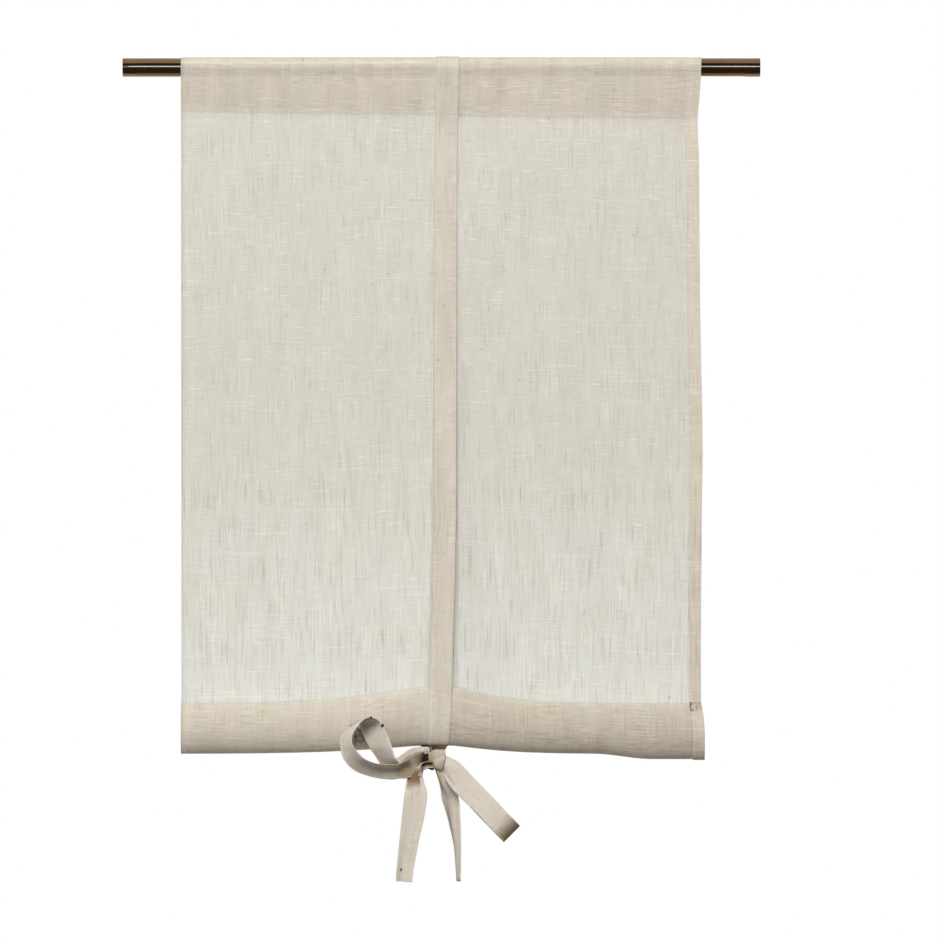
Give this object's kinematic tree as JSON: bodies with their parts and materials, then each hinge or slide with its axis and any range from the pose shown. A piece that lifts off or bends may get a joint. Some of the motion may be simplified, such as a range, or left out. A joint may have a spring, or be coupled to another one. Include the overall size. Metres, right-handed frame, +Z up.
{
  "type": "tie-up blind",
  "caption": "Plain linen tie-up blind on a round metal rod: flat cloth rolled up from below towards the front and held by a tape tied in a bow.",
  "frame": {"origin": "on the rod's axis, at the middle of the cloth's width", "axes": "+X along the rod to the right as seen from the front, +Z up, the front towards -Y"},
  "size_m": [0.612, 0.0677, 0.7935],
  "materials": {
    "rod": "dark antique bronze, half gloss",
    "linen": "plain-woven natural linen, slubby and a little sheer",
    "tape": "the same linen folded double and stitched along one edge"
  },
  "bodies": {
    "root": {"curtain_rod": "rod", "linen_panel": "linen", "tie_tape": "tape"}
  },
  "joints": []
}
